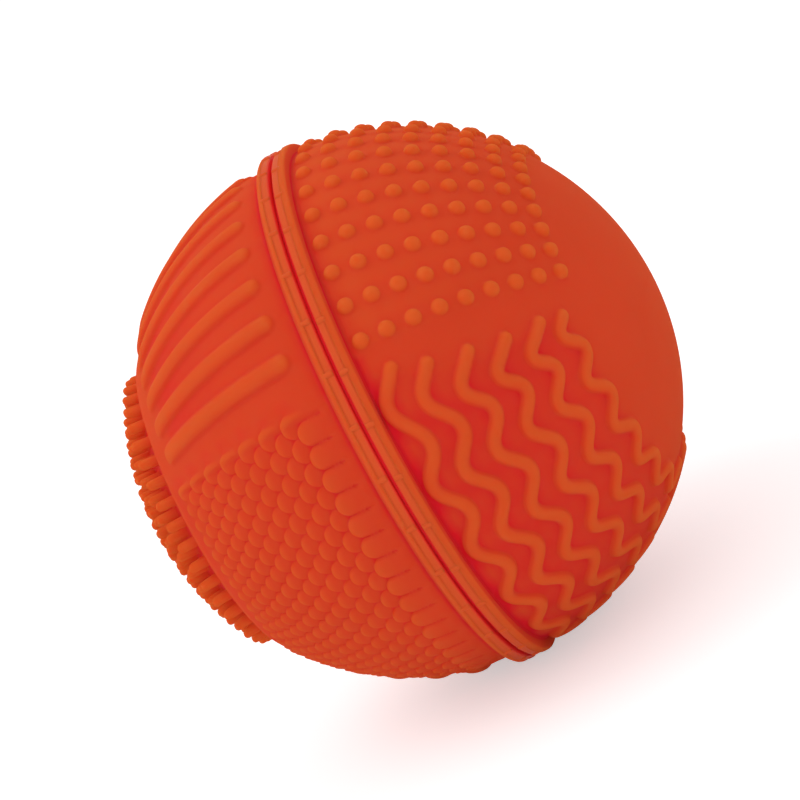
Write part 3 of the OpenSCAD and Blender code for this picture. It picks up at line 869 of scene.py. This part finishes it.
def moulding_and_shade_group():
    """Shared effect of moulded rubber: mottled colour, painted shade in hollows and a painted highlight on crests,
    uneven gloss and a fine skin grain.
    """
    if "moulding" in bpy.data.node_groups:
        return bpy.data.node_groups["moulding"]
    tree = bpy.data.node_groups.new("moulding", "ShaderNodeTree")
    for name, kind, value in (
        ("Face Colour", "NodeSocketColor", (0.8, 0.1, 0.02, 1)),
        ("Painted Shade Colour", "NodeSocketColor", (0.6, 0.02, 0.02, 1)),
        ("Painted Highlight Colour", "NodeSocketColor", (0.8, 0.12, 0.02, 1)),
        ("Painted Shade Depth", "NodeSocketFloat", 1.0),
        ("Gloss", "NodeSocketFloat", 0.45),
        ("Grain", "NodeSocketFloat", 1.0),
    ):
        socket = tree.interface.new_socket(name, in_out="INPUT", socket_type=kind)
        socket.default_value = value
    tree.interface.new_socket("Colour", in_out="OUTPUT", socket_type="NodeSocketColor")
    tree.interface.new_socket("Roughness", in_out="OUTPUT", socket_type="NodeSocketFloat")
    tree.interface.new_socket("Height", in_out="OUTPUT", socket_type="NodeSocketFloat")
    link = tree.links.new
    given, out = node_at(tree, "NodeGroupInput"), node_at(tree, "NodeGroupOutput")
    place = node_at(tree, "ShaderNodeTexCoord")
    # Painted shade: the hollow colour is mixed in where the surface lies hollow
    hollow = node_at(tree, "ShaderNodeAttribute", attribute_name="hollow")
    deep = node_at(tree, "ShaderNodeMapRange", {"From Min": 0.0, "From Max": 0.9})
    link(hollow.outputs["Fac"], deep.inputs["Value"])
    amount = node_at(tree, "ShaderNodeMath", operation="MULTIPLY", use_clamp=True)
    link(deep.outputs["Result"], amount.inputs[0])
    link(given.outputs["Painted Shade Depth"], amount.inputs[1])
    painted_shading = node_at(tree, "ShaderNodeMix", data_type="RGBA")
    link(amount.outputs[0], painted_shading.inputs["Factor"])
    link(given.outputs["Face Colour"], painted_shading.inputs["A"])
    link(given.outputs["Painted Shade Colour"], painted_shading.inputs["B"])
    # Painted highlight: the crest colour is mixed in on raised tops
    high = node_at(tree, "ShaderNodeMapRange", {"From Min": -0.1, "From Max": -0.8})
    link(hollow.outputs["Fac"], high.inputs["Value"])
    painted_highlight = node_at(tree, "ShaderNodeMix", data_type="RGBA")
    link(high.outputs["Result"], painted_highlight.inputs["Factor"])
    link(painted_shading.outputs["Result"], painted_highlight.inputs["A"])
    link(given.outputs["Painted Highlight Colour"], painted_highlight.inputs["B"])
    cloud = node_at(tree, "ShaderNodeTexNoise", {"Scale": 70.0, "Detail": 3.0})
    link(place.outputs["Object"], cloud.inputs["Vector"])
    mottle = node_at(tree, "ShaderNodeMapRange", {"To Min": 0.96, "To Max": 1.04})
    link(cloud.outputs["Fac"], mottle.inputs["Value"])
    shade = node_at(tree, "ShaderNodeMix", {"Factor": 1.0}, data_type="RGBA", blend_type="MULTIPLY")
    link(painted_highlight.outputs["Result"], shade.inputs["A"])
    link(mottle.outputs["Result"], shade.inputs["B"])
    link(shade.outputs["Result"], out.inputs["Colour"])
    uneven = node_at(tree, "ShaderNodeMapRange", {"To Min": -0.06, "To Max": 0.08})
    link(cloud.outputs["Fac"], uneven.inputs["Value"])
    rough = node_at(tree, "ShaderNodeMath", operation="ADD")
    link(uneven.outputs["Result"], rough.inputs[0])
    link(given.outputs["Gloss"], rough.inputs[1])
    link(rough.outputs[0], out.inputs["Roughness"])
    grain = node_at(tree, "ShaderNodeTexNoise", {"Scale": 2600.0, "Detail": 2.0})
    link(place.outputs["Object"], grain.inputs["Vector"])
    height = node_at(tree, "ShaderNodeMath", operation="MULTIPLY")
    link(grain.outputs["Fac"], height.inputs[0])
    link(given.outputs["Grain"], height.inputs[1])
    link(height.outputs[0], out.inputs["Height"])
    return tree


def finish(name, colour, deep, painted_highlight, depth, gloss, grain):
    """A material with the moulding effect, including painted shade and painted highlight, on a Principled shader."""
    material = bpy.data.materials.new(name)
    material.use_nodes = True
    tree = material.node_tree
    shader = tree.nodes["Principled BSDF"]
    effect = node_at(tree, "ShaderNodeGroup", node_tree=moulding_and_shade_group())
    set_inputs(effect, {"Face Colour": (*colour, 1), "Painted Shade Colour": (*deep, 1), "Painted Highlight Colour": (*painted_highlight, 1)})
    set_inputs(effect, {"Painted Shade Depth": depth, "Gloss": gloss, "Grain": grain})
    bump = node_at(tree, "ShaderNodeBump", {"Strength": 0.25, "Distance": 0.00006})
    tree.links.new(effect.outputs["Colour"], shader.inputs["Base Color"])
    tree.links.new(effect.outputs["Roughness"], shader.inputs["Roughness"])
    tree.links.new(effect.outputs["Height"], bump.inputs["Height"])
    tree.links.new(bump.outputs["Normal"], shader.inputs["Normal"])
    return material, shader


def silicone(context):
    """Soft orange silicone that lets red light travel under its skin."""
    if "orange_silicone" in bpy.data.materials:
        return bpy.data.materials["orange_silicone"]
    look = context.scene.ball_finish
    material, shader = finish(
        "orange_silicone", look.orange, look.shade_crimson, look.painted_highlight, depth=1.0, gloss=0.62, grain=1.0
    )
    set_inputs(shader, {"Subsurface Weight": 0.7, "Subsurface Radius": (1.0, 0.12, 0.06)})
    set_inputs(shader, {"Subsurface Scale": 0.0016, "Specular IOR Level": 0.0})
    return material


def moulded(context, name, colour):
    """Satin moulded plastic of a ring, with painted shade in its hollows and a painted highlight on its tops."""
    if name in bpy.data.materials:
        return bpy.data.materials[name]
    look = context.scene.ball_finish
    material, shader = finish(name, colour, look.ring_and_shade_red, look.painted_highlight, depth=0.8, gloss=0.56, grain=0.7)
    set_inputs(shader, {"Subsurface Weight": 0.3, "Subsurface Radius": (1.0, 0.3, 0.2)})
    set_inputs(shader, {"Subsurface Scale": 0.0004, "Specular IOR Level": 0.05})
    return material


class BALL_OT_studio(Operator):
    """Set up the white floor, the soft light and the camera"""

    bl_idname = "sensory_ball.studio"
    bl_label = "Studio"

    def execute(self, context):
        scene, studio = context.scene, context.scene.ball_studio
        right, up, back = self.view_axes()
        self.camera(scene, studio, right, up, back)
        self.floor(scene, studio)
        self.lamp(scene, studio, "key", studio.key_power, size=0.6, towards=-right + 0.55 * up + 0.2 * back)
        self.lamp(scene, studio, "fill", studio.fill_power, size=0.4, towards=back - 0.15 * up)
        self.sky(scene, studio)
        scene.view_settings.view_transform = "Standard"
        return {"FINISHED"}

    def view_axes(self):
        """Directions right, up and back towards the viewer: the pole tilts to the viewer and shows up to the right."""
        tilt, slant, turn = math.radians(10), math.radians(27.25), math.radians(15)
        back = Vector((math.sin(tilt), -math.cos(tilt) * math.cos(turn), math.cos(tilt) * math.sin(turn)))
        pole = (Vector((1, 0, 0)) - back * math.sin(tilt)).normalized()
        square = back.cross(pole)
        right = math.cos(slant) * pole - math.sin(slant) * square
        up = math.sin(slant) * pole + math.cos(slant) * square
        return right, up, back

    def camera(self, scene, studio, right, up, back):
        """The photograph's view. The shifts are given in pixels of a picture of 800."""
        data = bpy.data.cameras.new("photo_view")
        data.lens, data.sensor_width = studio.lens, 36
        data.shift_x, data.shift_y = -8.9 / 800, 1.85 / 800
        data.clip_start, data.clip_end = 0.01, 20
        camera = bpy.data.objects.new("photo_view", data)
        turn = Matrix((right, up, back)).transposed().to_4x4()
        camera.matrix_world = Matrix.Translation(back * studio.distance) @ turn
        scene.collection.objects.link(camera)
        scene.camera = camera

    def floor(self, scene, studio):
        """A white floor under the ball that glows a little where it is seen."""
        size, low = 6.0, cad_box[0][2]
        corners = [(-size, -size, low), (size, -size, low), (size, size, low), (-size, size, low)]
        mesh = bpy.data.meshes.new("floor")
        mesh.from_pydata(corners, [], [(0, 1, 2, 3)])
        floor = bpy.data.objects.new("floor", mesh)
        scene.collection.objects.link(floor)
        material = bpy.data.materials.new("white_floor")
        material.use_nodes = True
        tree = material.node_tree
        shader = tree.nodes["Principled BSDF"]
        grey = studio.floor_grey
        set_inputs(shader, {"Base Color": (grey, grey, grey, 1), "Roughness": 0.9, "Specular IOR Level": 0.0})
        set_inputs(shader, {"Emission Color": (1, 1, 1, 1)})
        path = node_at(tree, "ShaderNodeLightPath")
        shine = node_at(tree, "ShaderNodeMath", {1: studio.floor_glow}, operation="MULTIPLY")
        tree.links.new(self.seen(tree, path), shine.inputs[0])
        tree.links.new(shine.outputs[0], shader.inputs["Emission Strength"])
        mesh.materials.append(material)

    def seen(self, tree, path):
        """Whether the camera sees a surface, also in a reflection or through glass."""
        found = path.outputs["Is Camera Ray"]
        for other in ("Is Glossy Ray", "Is Transmission Ray"):
            either = node_at(tree, "ShaderNodeMath", operation="MAXIMUM")
            tree.links.new(found, either.inputs[0])
            tree.links.new(path.outputs[other], either.inputs[1])
            found = either.outputs[0]
        return found

    def lamp(self, scene, studio, name, power, size, towards):
        """A round soft light in a direction from the ball."""
        data = bpy.data.lights.new(name, "AREA")
        data.shape, data.size, data.energy = "DISK", size, power
        lamp = bpy.data.objects.new(name, data)
        lamp.location = towards.normalized() * studio.lamp_distance
        lamp.rotation_euler = towards.to_track_quat("Z", "Y").to_euler()
        scene.collection.objects.link(lamp)

    def sky(self, scene, studio):
        """Even light from all round, seen as plain white."""
        world = bpy.data.worlds.new("studio_sky")
        world.use_nodes = True
        scene.world = world
        tree = world.node_tree
        background = tree.nodes["Background"]
        set_inputs(background, {"Color": (1, 1, 1, 1)})
        path = node_at(tree, "ShaderNodeLightPath")
        strength = node_at(tree, "ShaderNodeMix", {"A": studio.sky, "B": 1.0}, data_type="FLOAT")
        tree.links.new(self.seen(tree, path), strength.inputs["Factor"])
        tree.links.new(strength.outputs["Result"], background.inputs["Strength"])


class BALL_PT_panel(Panel):
    """Lists the ball's pieces in the sidebar"""

    bl_idname = "BALL_PT_panel"
    bl_label = "Sensory Ball"
    bl_space_type = "VIEW_3D"
    bl_region_type = "UI"
    bl_category = "Sensory Ball"

    def draw(self, context):
        for group in (getattr(context.scene, name) for name in GROUPS):
            for name in group.__annotations__:
                self.layout.prop(group, name)
        for operator in STEPS:
            self.layout.operator(operator.bl_idname)


STEPS = (BALL_OT_dotted_half, BALL_OT_ribbed_half, BALL_OT_mouth_rings, BALL_OT_joining_ring, BALL_OT_studio)
GROUPS = {"ball_sizes": BallSizes, "ball_texture": TextureSizes, "ball_finish": BallFinish, "ball_studio": StudioSizes}


def register():
    for kind in (*GROUPS.values(), *STEPS, BALL_PT_panel):
        bpy.utils.register_class(kind)
    for name, kind in GROUPS.items():
        setattr(bpy.types.Scene, name, PointerProperty(type=kind))


def unregister():
    for name in GROUPS:
        delattr(bpy.types.Scene, name)
    for kind in (BALL_PT_panel, *reversed(STEPS), *GROUPS.values()):
        bpy.utils.unregister_class(kind)


def main():
    register()
    bpy.ops.sensory_ball.dotted_half()
    bpy.ops.sensory_ball.ribbed_half()
    bpy.ops.sensory_ball.mouth_rings()
    bpy.ops.sensory_ball.joining_ring()
    bpy.ops.sensory_ball.studio()
    bpy.context.view_layer.update()


if __name__ == "__main__":
    main()
